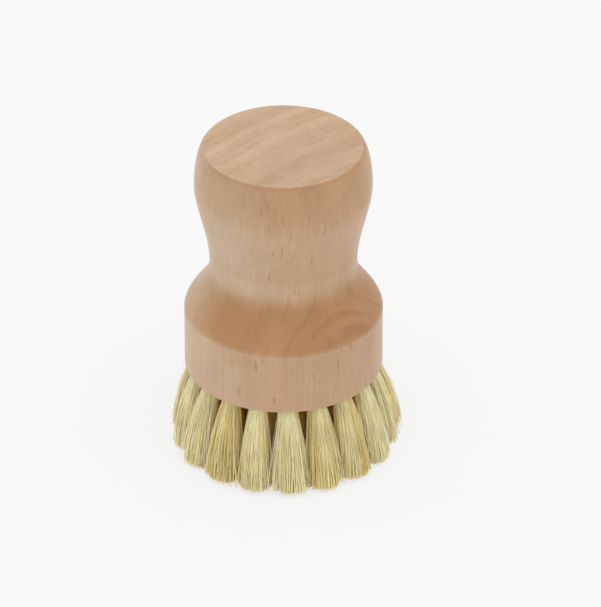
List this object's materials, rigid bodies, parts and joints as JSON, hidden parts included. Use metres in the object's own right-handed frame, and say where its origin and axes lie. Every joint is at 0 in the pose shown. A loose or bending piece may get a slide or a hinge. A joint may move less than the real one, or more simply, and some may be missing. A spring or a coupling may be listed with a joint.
{
  "type": "palm brush",
  "caption": "Small hand brush: a turned wooden knob handle with a flat crown, set below with leaning tufts of plant fibre for scrubbing pots and dishes.",
  "frame": {"origin": "on the brush's axis, in the plane of the bristle tips that the brush stands on", "axes": "+Z along the axis up to the crown; -Y faces the camera of the picture; +X is to the right there"},
  "size_m": [0.0633, 0.0637, 0.0928],
  "materials": {
    "beech": "fine sanded, unvarnished beech",
    "plant_fibre": "dry straw-coloured plant fibre",
    "anchor_steel": "drawn flat wire"
  },
  "bodies": {
    "root": {"beech_handle": "beech", "outer_tuft_01": "plant_fibre", "outer_tuft_02": "plant_fibre", "outer_tuft_03": "plant_fibre", "outer_tuft_04": "plant_fibre", "outer_tuft_05": "plant_fibre", "outer_tuft_06": "plant_fibre", "outer_tuft_07": "plant_fibre", "outer_tuft_08": "plant_fibre", "outer_tuft_09": "plant_fibre", "outer_tuft_10": "plant_fibre", "outer_tuft_11": "plant_fibre", "outer_tuft_12": "plant_fibre", "outer_tuft_13": "plant_fibre", "outer_tuft_14": "plant_fibre", "outer_tuft_15": "plant_fibre", "outer_tuft_16": "plant_fibre", "outer_tuft_17": "plant_fibre", "outer_tuft_18": "plant_fibre", "middle_tuft_01": "plant_fibre", "middle_tuft_02": "plant_fibre", "middle_tuft_03": "plant_fibre", "middle_tuft_04": "plant_fibre", "middle_tuft_05": "plant_fibre", "middle_tuft_06": "plant_fibre", "middle_tuft_07": "plant_fibre", "middle_tuft_08": "plant_fibre", "middle_tuft_09": "plant_fibre", "middle_tuft_10": "plant_fibre", "middle_tuft_11": "plant_fibre", "middle_tuft_12": "plant_fibre", "inner_tuft_01": "plant_fibre", "inner_tuft_02": "plant_fibre", "inner_tuft_03": "plant_fibre", "inner_tuft_04": "plant_fibre", "inner_tuft_05": "plant_fibre", "inner_tuft_06": "plant_fibre", "centre_tuft": "plant_fibre", "wire_anchors": "anchor_steel"}
  },
  "joints": []
}
